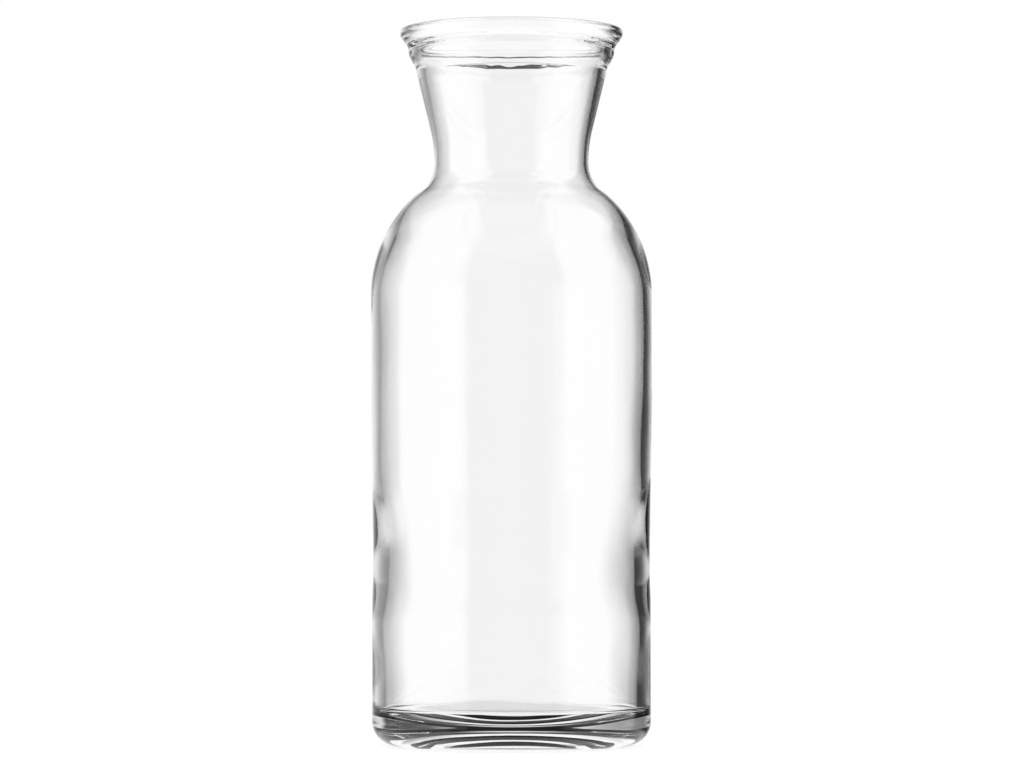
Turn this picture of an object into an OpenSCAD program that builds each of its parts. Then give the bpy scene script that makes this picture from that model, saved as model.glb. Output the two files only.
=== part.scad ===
// Wine carafe of clear glass: a tall body, a round shoulder and a narrow throat
// under a flared neck with a low collar and a flared lip. It is one piece of
// pressed and blown glass, drawn as a half section and turned about the upright
// axis. Lengths are in millimetres and heights are measured from the table.

/* [Base] */
// Width of the rounded heel between the foot and the side
heel_w = 9; // [5:0.5:12]
// Height of the rounded heel
heel_h = 8; // [5:0.5:11]
// Width of the flat ring that the carafe stands on
foot_w = 12; // [2:0.5:18]
// How far the underside is pushed up in the middle
push_up = 1; // [0.5:0.1:4]
// Height of the hollow floor inside, in the middle
floor_z = 6.3; // [5.5:0.1:10]
// Radius of the hollow floor
floor_bowl_r = 145; // [100:5:300]
// Radius in the corner between the floor and the wall
floor_r = 1.5; // [1:0.5:6]

/* [Body] */
// Diameter of the lower body, from the heel to the settle line
heel_d = 92.8; // [85:0.2:107]
// Diameter just above the settle line, where the side is drawn in a little
waist_d = 92.2; // [85:0.2:107]
// Largest diameter, at the belly
belly_d = 93.8; // [85:0.2:108]
// Height of the settle line, where the glass bulges inwards
settle_z = 52.5; // [42:0.5:62]
// Height of the belly
belly_z = 124; // [112:1:145]
// Straight side between the belly and the shoulder
side_h = 26; // [5:0.5:60]
// Radius of the shoulder
shoulder_r = 45; // [38:0.5:52]

/* [Neck] */
// Outer diameter of the throat
throat_d = 51.5; // [44:0.5:60]
// Radius of the hollow curve from the shoulder up to the throat
throat_r = 12; // [5:0.5:20]
// Radius of the long hollow curve above the throat
flare_r = 46; // [20:1:60]
// Height of the neck from the throat to the collar
neck_h = 29.9; // [26:0.1:60]
// Outer diameter of the neck under the collar
neck_top_d = 63.4; // [58:0.2:76]

/* [Rim] */
// Height over which the neck swells into the collar
collar_rise = 7; // [2:0.1:9]
// How far the collar stands out from the neck
collar_out = 2.7; // [0.5:0.1:4]
// Height of the upright band of the collar
collar_h = 0.4; // [0.3:0.1:3]
// Height of the lip, which flares out above the collar
lip_h = 7.4; // [5:0.1:9]
// How far the lip stands out from the collar
lip_out = 2.9; // [1:0.1:4]

/* [Glass] */
// Wall just above the floor
low_wall = 4.7; // [3:0.1:6]
// Wall below the settle line, where the lower body is thinnest
pinch_wall = 3.8; // [2.5:0.1:5]
// Wall just above the settle line, where it is thickest
settle_wall = 5.3; // [4:0.1:8]
// Wall of the body between the settle line and the shoulder
body_wall = 3; // [2.4:0.1:5]
// Wall in the middle of the shoulder, where it is thicker again
shoulder_wall = 3.6; // [2:0.1:5]
// Wall of the throat
throat_wall = 1.5; // [1.2:0.1:3]
// Wall of the collar and the lip
rim_wall = 2.8; // [2:0.1:4]
// How far below the settle line the lower body is thinnest
pinch_below = 12.5; // [8:0.5:20]
// How far above the settle line the wall is thickest
bulge_above = 5.5; // [3:0.5:10]
// How far above the settle line the wall is down to that of the body
thin_above = 37.5; // [20:0.5:50]
// Height of the small step outside at the settle line
settle_step = 10; // [2:0.5:14]

/* [Hidden] */

// Smoothness of the section and of the turning
turn_step = 4;
longest_step = 3;
rim_step = 0.8;
$fn = 128;

// Radii of the outside
heel_edge_r = heel_d / 2;
waist_r = waist_d / 2;
belly_r = belly_d / 2;
throat_edge_r = throat_d / 2;
neck_top_r = neck_top_d / 2;
collar_r = neck_top_r + collar_out;
rim_r = collar_r + lip_out;
edge_r = rim_wall / 2;

// Foot ring and the dished underside
foot_r = heel_edge_r - heel_w;
dish_edge_r = foot_r - foot_w;
dish_r = (pow(dish_edge_r, 2) + pow(push_up, 2)) / (2 * push_up);

// Hollow floor, and the corner that joins it to the wall
bowl_z = floor_z + floor_bowl_r;
corner_c = heel_edge_r - low_wall - floor_r;
corner_drop = sqrt(pow(floor_bowl_r - floor_r, 2) - pow(corner_c, 2));
corner_z = bowl_z - corner_drop;
bowl_end = -atan2(corner_drop, corner_c);

// Heights up the side; above it the shoulder's arc and the hollow throat arc touch each other
step_low_z = settle_z - settle_step / 2;
step_top_z = settle_z + settle_step / 2;
pinch_z = settle_z - pinch_below;
bulge_z = settle_z + bulge_above;
thin_z = settle_z + thin_above;
shoulder_z = belly_z + side_h;
shoulder_c = belly_r - shoulder_r;
throat_c = throat_edge_r + throat_r;
shoulder_rise = sqrt(pow(shoulder_r + throat_r, 2) - pow(throat_c - shoulder_c, 2));
shoulder_turn = atan2(shoulder_rise, throat_c - shoulder_c);
throat_z = shoulder_z + shoulder_rise;

// The long curve of the neck is no rounder than its height and flare allow
neck_out = neck_top_r - throat_edge_r;
flare_most = (pow(neck_out, 2) + pow(neck_h, 2)) / (2 * neck_out);
flare_fit_r = min(flare_r, flare_most);
flare_c = [throat_edge_r + flare_fit_r, throat_z];

// Rim heights
neck_top_z = throat_z + neck_h;
collar_z = neck_top_z + collar_rise;
lip_z = collar_z + collar_h;
height = lip_z + lip_h;
edge_z = height - edge_r;

// Points of an arc about c, from one angle to another
function arc(c, r, from, to) =
    let (
        turn = abs(to - from),
        steps = max(1, ceil(turn / turn_step), ceil(r * turn * PI / 180 / longest_step))
    )
    [for (i = [0 : steps]) let (a = from + (to - from) * i / steps) c + r * [cos(a), sin(a)]];

// A value that changes smoothly from v0 at height z0 to v1 at height z1, and is level beyond them
function ease(z, z0, v0, z1, v1) =
    let (t = max(0, min(1, (z - z0) / (z1 - z0))))
    v0 + (v1 - v0) * (1 - cos(180 * t)) / 2;

// Outer radius of the side at a height between the heel and the shoulder
function side_r(z) =
    z < step_top_z ? ease(z, step_low_z, heel_edge_r, step_top_z, waist_r)
        : ease(z, step_top_z, waist_r, belly_z, belly_r);

// Thickness of the side at a height between the floor and the shoulder
function side_wall(z) =
    z < pinch_z ? ease(z, corner_z, low_wall, pinch_z, pinch_wall)
        : z < bulge_z ? ease(z, pinch_z, pinch_wall, bulge_z, settle_wall)
        : ease(z, bulge_z, settle_wall, thin_z, body_wall);

// Radius of the shoulder's inner face at an angle of its arc
function shoulder_in(a) =
    let (mid = shoulder_turn / 2)
    shoulder_r - (a < mid ? ease(a, 0, body_wall, mid, shoulder_wall)
        : ease(a, mid, shoulder_wall, shoulder_turn, throat_wall));

// Even heights over a stretch, no further apart than step
function rungs(from, to, step) =
    let (count = ceil((to - from) / step))
    [for (i = [0 : count]) from + (to - from) * i / count];

// Angle at which the line from a point touches an arc about c on its hollow side
function touch_angle(point, c, r) =
    let (out = point - c)
    atan2(out.y, out.x) + acos(min(1, r / norm(out)));

// Volume of the space that a run of points encloses when it is turned
function turned_volume(points) =
    let (bands = [for (i = [1 : len(points) - 1])
        let (a = points[i - 1], b = points[i])
        PI / 3 * (pow(a.x, 2) + a.x * b.x + pow(b.x, 2)) * (b.y - a.y)])
    bands * [for (band = bands) 1];

// Outside, from the middle of the underside up to the top of the lip
underside = arc([0, push_up - dish_r], dish_r, 90, atan2(dish_r - push_up, dish_edge_r));
heel = [for (p = arc([0, 0], 1, -90, 0)) [foot_r + heel_w * p.x, heel_h + heel_h * p.y]];
outer_side = [for (z = rungs(heel_h, shoulder_z, longest_step)) [side_r(z), z]];
outer_shoulder = arc([shoulder_c, shoulder_z], shoulder_r, 0, shoulder_turn);
outer_throat = arc([throat_c, throat_z], throat_r, 180 + shoulder_turn, 180);
outer_neck = arc(flare_c, flare_fit_r, 180, touch_angle([neck_top_r, neck_top_z], flare_c, flare_fit_r));
collar = [for (z = rungs(neck_top_z, collar_z, rim_step))
    [ease(z, neck_top_z, neck_top_r, collar_z, collar_r), z]];
outer_lip = [for (z = rungs(lip_z, edge_z, rim_step)) [ease(z, lip_z, collar_r, edge_z, rim_r), z]];
outer_edge = arc([rim_r - edge_r, edge_z], edge_r, 0, 90);
outside = concat(underside, heel, outer_side, outer_shoulder, outer_throat, outer_neck, collar, outer_lip,
    outer_edge);

// Outer radius of the neck, the collar and the lip by height, which the inside follows
neck_rows = [for (p = concat(outer_neck, collar, outer_lip)) [p.y, p.x]];
function neck_in(z) = lookup(z, neck_rows) - ease(z, throat_z, throat_wall, collar_z, rim_wall);

// Inside, from the middle of the floor up to the top of the lip
inner_floor = arc([0, bowl_z], floor_bowl_r, -90, bowl_end);
inner_corner = arc([corner_c, corner_z], floor_r, bowl_end, 0);
inner_side = [for (z = rungs(corner_z, shoulder_z, longest_step)) [side_r(z) - side_wall(z), z]];
inner_shoulder = [for (p = arc([0, 0], 1, 0, shoulder_turn))
    [shoulder_c, shoulder_z] + shoulder_in(atan2(p.y, p.x)) * p];
inner_throat = arc([throat_c, throat_z], throat_r + throat_wall, 180 + shoulder_turn, 180);
inner_neck = [for (z = rungs(throat_z, neck_top_z, longest_step)) [neck_in(z), z]];
inner_rim = [for (z = rungs(neck_top_z, edge_z, rim_step)) [neck_in(z), z]];
inner_edge = arc([rim_r - edge_r, edge_z], edge_r, 180, 90);
inside = concat(inner_floor, inner_corner, inner_side, inner_shoulder, inner_throat, inner_neck, inner_rim,
    inner_edge);

echo(height_mm = height, rim_diameter_mm = 2 * rim_r, brimful_ml = turned_volume(inside) / 1000);

// The carafe: the half section of the glass, turned all the way round
module glass_vessel() {
    color([0.86, 0.93, 0.93, 0.4])
        rotate_extrude() polygon(concat(outside, [for (i = [len(inside) - 1 : -1 : 0]) inside[i]]));
}

glass_vessel();
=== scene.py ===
"""Wine carafe of clear glass, turned from one half section and shown in a white studio.

Lengths in the section are in millimetres, heights are measured from the table, and the finished mesh
is in metres.
"""

import math

import bpy
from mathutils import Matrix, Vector


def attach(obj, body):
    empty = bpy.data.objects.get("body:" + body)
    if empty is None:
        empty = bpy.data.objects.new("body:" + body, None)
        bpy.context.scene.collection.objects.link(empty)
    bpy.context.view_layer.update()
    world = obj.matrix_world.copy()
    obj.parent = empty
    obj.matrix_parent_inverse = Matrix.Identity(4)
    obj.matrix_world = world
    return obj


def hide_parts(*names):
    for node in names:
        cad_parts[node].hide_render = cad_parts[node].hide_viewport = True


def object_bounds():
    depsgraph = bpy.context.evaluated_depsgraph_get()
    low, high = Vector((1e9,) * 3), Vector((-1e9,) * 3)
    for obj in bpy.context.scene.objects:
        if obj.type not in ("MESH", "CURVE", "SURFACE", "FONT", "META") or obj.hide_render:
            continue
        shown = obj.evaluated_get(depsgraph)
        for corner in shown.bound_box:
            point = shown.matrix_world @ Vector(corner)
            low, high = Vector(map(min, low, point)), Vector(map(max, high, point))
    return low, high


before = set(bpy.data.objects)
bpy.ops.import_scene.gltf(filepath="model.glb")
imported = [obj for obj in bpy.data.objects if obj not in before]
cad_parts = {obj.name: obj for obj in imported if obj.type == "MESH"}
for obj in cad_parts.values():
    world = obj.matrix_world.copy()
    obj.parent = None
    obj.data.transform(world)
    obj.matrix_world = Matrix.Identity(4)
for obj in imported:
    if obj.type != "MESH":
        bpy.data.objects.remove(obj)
cad_low, cad_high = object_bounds()

MM = 0.001

# The frame gives the overall height and the belly
HEIGHT = cad_high.z / MM
BELLY_R = cad_high.x / MM

# Base
HEEL_W = 9.0
HEEL_H = 8.0
FOOT_W = 12.0
PUSH_UP = 1.0
FLOOR_Z = 6.3
FLOOR_BOWL_R = 145.0
FLOOR_R = 1.5

# Body
HEEL_EDGE_R = 46.4
WAIST_R = 46.1
SETTLE_Z = 52.5
SETTLE_STEP = 10.0
BELLY_Z = 124.0
SHOULDER_Z = 150.0
SHOULDER_R = 45.0

# Neck and rim
THROAT_EDGE_R = 25.75
THROAT_R = 12.0
FLARE_R = 46.0
NECK_TOP_R = 31.7
COLLAR_RISE = 7.0
COLLAR_R = 34.4
COLLAR_H = 0.4
LIP_H = 7.4
RIM_R = 37.3

# Thickness of the glass, and the heights between which it changes at the settle line
LOW_WALL = 4.7
PINCH_WALL = 3.8
SETTLE_WALL = 5.3
BODY_WALL = 3.0
SHOULDER_WALL = 3.6
THROAT_WALL = 1.5
RIM_WALL = 2.8
PINCH_Z = SETTLE_Z - 12.5
BULGE_Z = SETTLE_Z + 5.5
THIN_Z = SETTLE_Z + 37.5

# Unevenness of the inside: slow waves, and wavy ridges under the lip that the mould's neck ring left behind.
# Each ridge has its height at the back, how far it stands in, and half its own height.
WAVE_SIZE = 30.0
WAVE_DEPTH = 0.4
RIDGES = [(231.8, 1.0, 0.6), (235.3, 0.2, 0.6)]
# How far the ridges rise from the back to each side, and how far their waves lift them, with each wave's count
# round the mouth and its shift
RIDGE_RISE = 1.5
RIDGE_WAVE = 0.25
RIDGE_WAVES = [(22, 0), (9, 1), (33, 0)]
# Share of the ridges that is left at the front, the stretch over which they fade, as sines of the angle round
# the mouth, and the lowest that they reach
RIDGE_AT_FRONT = 0.1
RIDGE_FADE = (-0.2, 0.4)
RIDGES_FROM = 0.9 * HEIGHT

# Fineness of the mesh
ARC_STEP = 3.0
LONGEST_EDGE = 1.8
RIM_EDGE = 0.33
TURN_STEPS = 180
SAME_POINT = 1e-6
MERGE_GAP = 0.01
# Points lower than this are on the outside of the base, and the floor's normals point up by this much
UNDERSIDE_TOP = 1.5 * PUSH_UP
FLOOR_UPWARDS = 0.5

# Glass: how it bends light, its faintest tint, and the scales of its cords and of the peel in its surface
GLASS_IOR = 1.52
GLASS_TINT = (0.985, 0.99, 0.988, 1)
CORD_SCALE = 25.0
PEEL_SCALE = 120.0
PEEL_DEPTH = 0.01
# How many reflections of light are followed: with more, the dark in the base breaks up into finer lines
GLASS_BOUNCES = 5

# White table: its radius in metres, the sides of its outline, its glow, and the share of the glow in its look
TABLE_TOP_R = 20
TABLE_TOP_SIDES = 96
TABLE_GLOW = 1.1
TABLE_GLOW_SHARE = 0.8

# Studio, as the glass sees it. Soft edges in degrees above the horizon, each from its start to its end: the
# backdrop's upper edge, the lights overhead, the table, and the table right below.
BACKDROP_TOP = (16.5, 22)
OVERHEAD = (45, 58)
TABLE_EDGE = (-10, -16)
UNDERNEATH = (-38, -68)
# Brightness of the dark over the backdrop, of the gap between the lights overhead, and of the table in front
DARK_LIGHT = 0.04
CEILING_LIGHT = 0.05
TABLE_FRONT = 0.35
# Half the width of the gap overhead and the width of its soft edge, as shares of a direction to the right
OVERHEAD_GAP = 0.30
OVERHEAD_SOFT = 0.06
# Brightness of the studio round the horizon, by degrees to the right of straight behind the carafe
HORIZON = [
    (-180, 0.40), (-145, 0.40), (-140, 1.0), (-76, 1.0), (-66, 0.30), (-50, 0.25), (-40, 0.30), (-27, 0.45),
    (-15, 0.85), (-10, 1.0), (7, 1.0), (11, 0.75), (18, 0.35), (26, 0.06), (45, 0.04), (55, 0.10), (62, 1.0),
    (133, 1.0), (139, 0.34), (180, 0.40),
]
# Brightness of the table, by the same degrees
TABLE = [
    (-180, TABLE_FRONT), (-130, TABLE_FRONT), (-122, 1.0), (122, 1.0), (130, TABLE_FRONT), (180, TABLE_FRONT),
]
# Share of each direction that the backdrop takes up, by the same degrees
BACKDROP = [(-180, 0), (-62, 0), (-56, 1), (52, 1), (58, 0), (180, 0)]

# The photograph's view: its size and scale, the column of the axis, the row of the table, and in millimetres
# the lens's height and how far away it is
PHOTO_W = 1024
PHOTO_H = 768
PHOTO_PX_PER_MM = 3.0
PHOTO_AXIS_X = 511.5
PHOTO_TABLE_Y = 745.0
LENS_Z = 75.6
LENS_AWAY = 1396.0


class Wire:
    """An output socket of a shader node. Sums on wires add Math nodes."""

    def __init__(self, shader, socket):
        self.shader = shader
        self.socket = socket

    def output(self, name):
        return Wire(self.shader, self.socket.node.outputs[name])

    def math(self, operation, *values):
        return self.shader.node("ShaderNodeMath", {"operation": operation}, dict(enumerate(values)))

    def __add__(self, other):
        return self.math("ADD", self, other)

    def __radd__(self, other):
        return self.math("ADD", other, self)

    def __sub__(self, other):
        return self.math("SUBTRACT", self, other)

    def __rsub__(self, other):
        return self.math("SUBTRACT", other, self)

    def __mul__(self, other):
        return self.math("MULTIPLY", self, other)

    def __rmul__(self, other):
        return self.math("MULTIPLY", other, self)

    def __truediv__(self, other):
        return self.math("DIVIDE", self, other)


class Shader:
    """The nodes of one material or of the world."""

    def __init__(self, owner):
        owner.use_nodes = True
        self.tree = owner.node_tree
        self.tree.nodes.clear()

    def node(self, kind, settings=None, inputs=None, output=0):
        """Adds a node, sets it up, feeds its inputs with values or wires, and gives one of its outputs."""
        made = self.tree.nodes.new(kind)
        for name, value in (settings or {}).items():
            if name == "stops":
                self.set_stops(made.color_ramp, value)
            else:
                setattr(made, name, value)
        for key, value in (inputs or {}).items():
            if isinstance(value, Wire):
                self.tree.links.new(value.socket, made.inputs[key])
            else:
                made.inputs[key].default_value = value
        return Wire(self, made.outputs[output]) if made.outputs else None

    def set_stops(self, ramp, stops):
        """Gives a colour ramp its grey stops, as (position, brightness) pairs."""
        while len(ramp.elements) > 1:
            ramp.elements.remove(ramp.elements[-1])
        for i, (position, grey) in enumerate(stops):
            stop = ramp.elements[0] if i == 0 else ramp.elements.new(position)
            stop.position = position
            stop.color = (grey, grey, grey, 1)


def arc(centre, radius, start, end):
    """Points of an arc about a centre, from one angle to another in degrees."""
    length = radius * math.radians(abs(end - start))
    steps = max(1, math.ceil(abs(end - start) / ARC_STEP), math.ceil(length / LONGEST_EDGE))
    points = []
    for i in range(steps + 1):
        angle = math.radians(start + (end - start) * i / steps)
        points.append((centre[0] + radius * math.cos(angle), centre[1] + radius * math.sin(angle)))
    return points


def ease(z, z0, v0, z1, v1):
    """A value that changes smoothly from v0 at height z0 to v1 at height z1, and is level beyond them."""
    t = max(0.0, min(1.0, (z - z0) / (z1 - z0)))
    return v0 + (v1 - v0) * (1 - math.cos(math.pi * t)) / 2


def side_radius(z):
    """Outer radius of the side at a height between the heel and the shoulder."""
    step_top = SETTLE_Z + SETTLE_STEP / 2
    if z < step_top:
        return ease(z, step_top - SETTLE_STEP, HEEL_EDGE_R, step_top, WAIST_R)
    return ease(z, step_top, WAIST_R, BELLY_Z, BELLY_R)


def floor_corner():
    """Centre of the arc that joins the hollow floor to the wall."""
    r = HEEL_EDGE_R - LOW_WALL - FLOOR_R
    return r, FLOOR_Z + FLOOR_BOWL_R - math.sqrt((FLOOR_BOWL_R - FLOOR_R) ** 2 - r ** 2)


def side_wall(z):
    """Thickness of the side at a height between the floor and the shoulder."""
    if z < PINCH_Z:
        return ease(z, floor_corner()[1], LOW_WALL, PINCH_Z, PINCH_WALL)
    if z < BULGE_Z:
        return ease(z, PINCH_Z, PINCH_WALL, BULGE_Z, SETTLE_WALL)
    return ease(z, BULGE_Z, SETTLE_WALL, THIN_Z, BODY_WALL)


def shoulder_wall(angle, turn):
    """Thickness of the shoulder at an angle of its arc, which ends at the throat after a turn in degrees."""
    if angle < turn / 2:
        return ease(angle, 0, BODY_WALL, turn / 2, SHOULDER_WALL)
    return ease(angle, turn / 2, SHOULDER_WALL, turn, THROAT_WALL)


def heights(low, high, apart):
    """Even heights from low to high, no further apart than given."""
    steps = math.ceil((high - low) / apart)
    return [low + (high - low) * i / steps for i in range(steps + 1)]


def touch_angle(centre, radius, point):
    """Angle at which the line from a point touches an arc on its hollow side."""
    out_r = point[0] - centre[0]
    out_z = point[1] - centre[1]
    turn = math.acos(min(1.0, radius / math.hypot(out_r, out_z)))
    return math.degrees(math.atan2(out_z, out_r) + turn)


def radius_at(run, z):
    """Radius at a height of a run of points that rises all the way."""
    for (r0, z0), (r1, z1) in zip(run, run[1:]):
        if z <= z1:
            return r0 + (r1 - r0) * (z - z0) / (z1 - z0)
    return run[-1][0]


def filled(points):
    """The same run of points, without repeats and with long straight stretches divided."""
    run = [points[0]]
    for r, z in points[1:]:
        last_r, last_z = run[-1]
        length = math.hypot(r - last_r, z - last_z)
        if length < SAME_POINT:
            continue
        steps = math.ceil(length / LONGEST_EDGE)
        for i in range(1, steps + 1):
            run.append((last_r + (r - last_r) * i / steps, last_z + (z - last_z) * i / steps))
    return run


def carafe_section():
    """Half section of the glass: up the outside from the middle of the underside, over the lip, and down
    the inside to the middle of the floor."""
    foot_r = HEEL_EDGE_R - HEEL_W
    dish_edge = foot_r - FOOT_W
    dish_r = (dish_edge ** 2 + PUSH_UP ** 2) / (2 * PUSH_UP)
    dish_end = math.degrees(math.atan2(dish_r - PUSH_UP, dish_edge))
    shoulder_c = BELLY_R - SHOULDER_R
    throat_c = THROAT_EDGE_R + THROAT_R
    rise = math.sqrt((SHOULDER_R + THROAT_R) ** 2 - (throat_c - shoulder_c) ** 2)
    turn = math.degrees(math.atan2(rise, throat_c - shoulder_c))
    throat_z = SHOULDER_Z + rise
    lip_z = HEIGHT - LIP_H
    collar_z = lip_z - COLLAR_H
    neck_top_z = collar_z - COLLAR_RISE
    flare_c = (THROAT_EDGE_R + FLARE_R, throat_z)
    flare_end = touch_angle(flare_c, FLARE_R, (NECK_TOP_R, neck_top_z))
    edge_r = RIM_WALL / 2
    edge_z = HEIGHT - edge_r
    bowl_z = FLOOR_Z + FLOOR_BOWL_R
    corner = floor_corner()
    bowl_end = math.degrees(math.atan2(corner[1] - bowl_z, corner[0]))

    outside = arc((0, PUSH_UP - dish_r), dish_r, 90, dish_end)
    outside += [(foot_r + r * HEEL_W, HEEL_H + z * HEEL_H) for r, z in arc((0, 0), 1, -90, 0)]
    outside += [(side_radius(z), z) for z in heights(HEEL_H, SHOULDER_Z, LONGEST_EDGE)]
    outside += arc((shoulder_c, SHOULDER_Z), SHOULDER_R, 0, turn)
    outside += arc((throat_c, throat_z), THROAT_R, 180 + turn, 180)
    neck = arc(flare_c, FLARE_R, 180, flare_end)
    neck += [(ease(z, neck_top_z, NECK_TOP_R, collar_z, COLLAR_R), z)
             for z in heights(neck_top_z, collar_z, RIM_EDGE)]
    neck += [(ease(z, lip_z, COLLAR_R, edge_z, RIM_R), z) for z in heights(lip_z, edge_z, RIM_EDGE)]
    outside += neck
    outside += arc((RIM_R - edge_r, edge_z), edge_r, 0, 90)

    inside = arc((0, bowl_z), FLOOR_BOWL_R, -90, bowl_end)
    inside += arc(corner, FLOOR_R, bowl_end, 0)
    inside += [(side_radius(z) - side_wall(z), z) for z in heights(corner[1], SHOULDER_Z, LONGEST_EDGE)]
    for r, z in arc((0, 0), 1, 0, turn):
        radius = SHOULDER_R - shoulder_wall(math.degrees(math.atan2(z, r)), turn)
        inside.append((shoulder_c + radius * r, SHOULDER_Z + radius * z))
    inside += arc((throat_c, throat_z), THROAT_R + THROAT_WALL, 180 + turn, 180)
    inside += [(radius_at(neck, z) - ease(z, throat_z, THROAT_WALL, collar_z, RIM_WALL), z)
               for z in heights(throat_z, neck_top_z, LONGEST_EDGE) + heights(neck_top_z, edge_z, RIM_EDGE)]
    inside += arc((RIM_R - edge_r, edge_z), edge_r, 180, 90)
    return filled(outside + inside[::-1])


def turned(name, section):
    """A closed piece turned about the upright axis from a half section in millimetres."""
    bpy.ops.object.select_all(action="DESELECT")
    bpy.ops.mesh.primitive_plane_add(size=MM)
    piece = bpy.context.object
    piece.name = piece.data.name = name
    bpy.ops.object.mode_set(mode="EDIT")
    bpy.ops.mesh.select_all(action="SELECT")
    bpy.ops.mesh.merge(type="CENTER")
    last = (0.0, 0.0)
    for i, (r, z) in enumerate(section):
        step = ((r - last[0]) * MM, 0, (z - last[1]) * MM)
        if i == 0:
            bpy.ops.transform.translate(value=step)
        else:
            bpy.ops.mesh.extrude_vertices_move(TRANSFORM_OT_translate={"value": step})
        last = (r, z)
    bpy.ops.mesh.select_all(action="SELECT")
    bpy.ops.mesh.spin(steps=TURN_STEPS, angle=math.tau, center=(0, 0, 0), axis=(0, 0, 1))
    bpy.ops.mesh.select_all(action="SELECT")
    bpy.ops.mesh.remove_doubles(threshold=MERGE_GAP * MM)
    bpy.ops.mesh.normals_make_consistent(inside=False)
    bpy.ops.object.mode_set(mode="OBJECT")
    bpy.ops.object.shade_smooth()
    return piece


def facing_inside(point):
    """Whether a point of the mesh lies on the inner face of the glass, the floor included."""
    if point.co.z < UNDERSIDE_TOP * MM:
        return False
    outwards = point.normal.x * point.co.x + point.normal.y * point.co.y
    return outwards < 0 or (point.normal.z > FLOOR_UPWARDS and point.co.z < BELLY_Z * MM)


def displaced(piece, name, weights, strength, texture=None):
    """Moves the points of a piece along their normals, by strength times their weights and a texture."""
    group = piece.vertex_groups.new(name=name)
    for index, weight in weights.items():
        group.add([index], weight, "REPLACE")
    bpy.ops.object.modifier_add(type="DISPLACE")
    shift = piece.modifiers[-1]
    shift.vertex_group = name
    shift.strength = strength * MM
    shift.mid_level = 0.0
    if texture:
        shift.texture = texture
        shift.texture_coords = "LOCAL"
        shift.mid_level = 0.5
    bpy.ops.object.modifier_apply(modifier=shift.name)
    piece.vertex_groups.clear()


def ridge_height(place):
    """How far the wavy ridges stand in from the inner face at a point, in millimetres."""
    around = math.atan2(place.y, place.x)
    at_back = ease(math.sin(around), RIDGE_FADE[0], RIDGE_AT_FRONT, RIDGE_FADE[1], 1.0)
    wave = RIDGE_WAVE * sum(math.cos(count * around + shift) for count, shift in RIDGE_WAVES) / 2
    rise = RIDGE_RISE * (1 - math.sin(around))
    height = 0.0
    for z, inwards, half_h in RIDGES:
        height += inwards * math.exp(-((place.z / MM - z - rise - wave) / half_h) ** 2)
    return at_back * height


def uneven_inside(piece):
    """Gives the inner face its slow waves and its wavy ridges under the lip."""
    waves = bpy.data.textures.new("glass_waves", "CLOUDS")
    waves.noise_scale = WAVE_SIZE * MM
    waves.noise_depth = 1
    inner = [point for point in piece.data.vertices if facing_inside(point)]
    ridges = {point.index: ridge_height(point.co) for point in inner if point.co.z > RIDGES_FROM * MM}
    slow_waves = {point.index: ease(point.co.z / MM, SETTLE_Z, 1.0, HEIGHT, 0.0) for point in inner}
    displaced(piece, "waves", slow_waves, WAVE_DEPTH, waves)
    displaced(piece, "ridges", ridges, 1.0)


def clear_glass():
    """Colourless soda glass, fire-polished, with a faint peel in its surface and hardly any tint."""
    material = bpy.data.materials.new("polished_glass")
    shader = Shader(material)
    place = shader.node("ShaderNodeTexCoord", output="Object")
    peel = shader.node("ShaderNodeTexNoise", inputs={"Vector": place, "Scale": PEEL_SCALE, "Detail": 2.0})
    cords = shader.node("ShaderNodeTexNoise", inputs={"Vector": place, "Scale": CORD_SCALE, "Detail": 3.0})
    tint = shader.node(
        "ShaderNodeMix", {"data_type": "RGBA"},
        {"Factor": cords, 6: GLASS_TINT, 7: (1, 1, 1, 1)}, output=2,
    )
    bump = shader.node(
        "ShaderNodeBump", inputs={"Strength": 1.0, "Distance": PEEL_DEPTH * MM, "Height": peel},
    )
    surface = shader.node(
        "ShaderNodeBsdfPrincipled",
        inputs={
            "Base Color": tint, "Roughness": 0.0, "IOR": GLASS_IOR, "Transmission Weight": 1.0,
            "Normal": bump,
        },
    )
    shader.node("ShaderNodeOutputMaterial", inputs={"Surface": surface})
    return material


def white_floor():
    """A wide white table that shows the carafe's soft shadow."""
    bpy.ops.object.select_all(action="DESELECT")
    bpy.ops.mesh.primitive_circle_add(vertices=TABLE_TOP_SIDES, radius=TABLE_TOP_R, fill_type="NGON")
    floor = bpy.context.object
    floor.name = "floor"
    material = bpy.data.materials.new("white_table")
    shader = Shader(material)
    matt = shader.node("ShaderNodeBsdfDiffuse", inputs={"Color": (1, 1, 1, 1)})
    glow = shader.node("ShaderNodeEmission", inputs={"Color": (1, 1, 1, 1), "Strength": TABLE_GLOW})
    both = shader.node("ShaderNodeMixShader", inputs={0: TABLE_GLOW_SHARE, 1: matt, 2: glow})
    shader.node("ShaderNodeOutputMaterial", inputs={"Surface": both})
    floor.data.materials.append(material)
    floor.visible_glossy = False
    floor.visible_transmission = False


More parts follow.
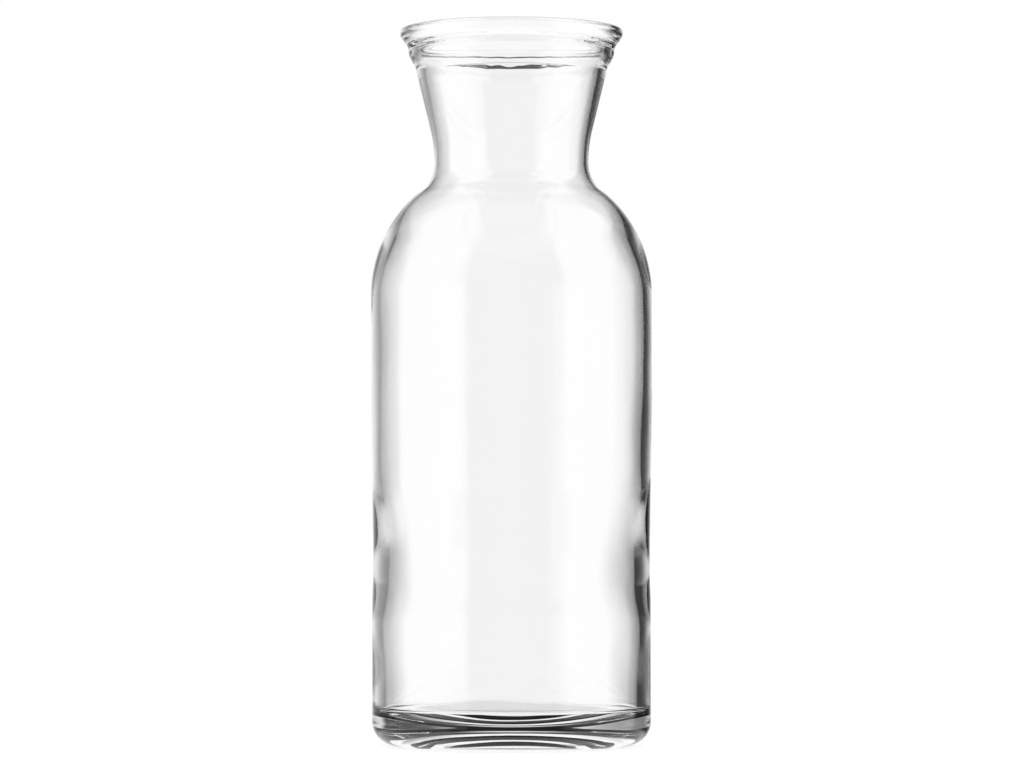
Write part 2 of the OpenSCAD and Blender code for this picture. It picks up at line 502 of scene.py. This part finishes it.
def studio():
    """White studio: the camera and the table see plain white, and the glass sees panels with dark gaps."""
    world = bpy.data.worlds.new("studio")
    bpy.context.scene.world = world
    shader = Shader(world)
    way = shader.node("ShaderNodeSeparateXYZ", inputs={0: shader.node("ShaderNodeTexCoord")})
    right, behind, up = (way.output(axis) for axis in "XYZ")
    turn = right.math("ARCTAN2", right, behind) / math.tau + 0.5

    def round_about(stops):
        # Adding nothing turns the ramp's colour into a value
        marks = [(degrees / 360 + 0.5, grey) for degrees, grey in stops]
        return shader.node("ShaderNodeValToRGB", {"stops": marks}, {0: turn}) + 0.0

    def between(value, start, end):
        return shader.node(
            "ShaderNodeMapRange",
            {"interpolation_type": "SMOOTHSTEP"},
            {"Value": value, "From Min": start, "From Max": end},
        )

    def past(start, end):
        return between(up, math.sin(math.radians(start)), math.sin(math.radians(end)))

    over_backdrop = round_about(BACKDROP) * past(*BACKDROP_TOP)
    ceiling = past(*OVERHEAD)
    table = past(*TABLE_EDGE)
    under = past(*UNDERNEATH)
    sides = round_about(HORIZON) * (1 - over_backdrop) + DARK_LIGHT * over_backdrop
    aside = between(right.math("ABSOLUTE", right), OVERHEAD_GAP, OVERHEAD_GAP + OVERHEAD_SOFT)
    overhead = CEILING_LIGHT + (1 - CEILING_LIGHT) * aside
    sides = sides * (1 - ceiling) + overhead * ceiling
    below = round_about(TABLE) * (1 - under) + under
    seen = sides * (1 - table) + below * table
    path = shader.node("ShaderNodeLightPath")
    glass_ray = right.math("MAXIMUM", path.output("Is Glossy Ray"), path.output("Is Transmission Ray"))
    light = seen * glass_ray + (1 - glass_ray)
    background = shader.node("ShaderNodeBackground", inputs={"Color": (1, 1, 1, 1), "Strength": light})
    shader.node("ShaderNodeOutputWorld", inputs={"Surface": background})


def photograph_camera():
    """A long lens below the carafe's middle, so that the rim is seen from below and the base from above."""
    aim = Vector((
        (PHOTO_W / 2 - PHOTO_AXIS_X) / PHOTO_PX_PER_MM,
        0,
        (PHOTO_TABLE_Y - PHOTO_H / 2) / PHOTO_PX_PER_MM,
    )) * MM
    place = Vector((aim.x, -LENS_AWAY * MM, LENS_Z * MM))
    bpy.ops.object.camera_add(location=place)
    camera = bpy.context.object
    camera.rotation_euler = (aim - place).to_track_quat("-Z", "Y").to_euler()
    camera.data.lens = camera.data.sensor_width * PHOTO_PX_PER_MM * LENS_AWAY / PHOTO_W
    bpy.context.scene.camera = camera


scene = bpy.context.scene
scene.view_settings.view_transform = "Standard"
scene.cycles.glossy_bounces = GLASS_BOUNCES

photograph_camera()
studio()
white_floor()

carafe = turned("carafe", carafe_section())
uneven_inside(carafe)
carafe.data.materials.append(clear_glass())
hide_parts("glass_vessel")
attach(carafe, "root")
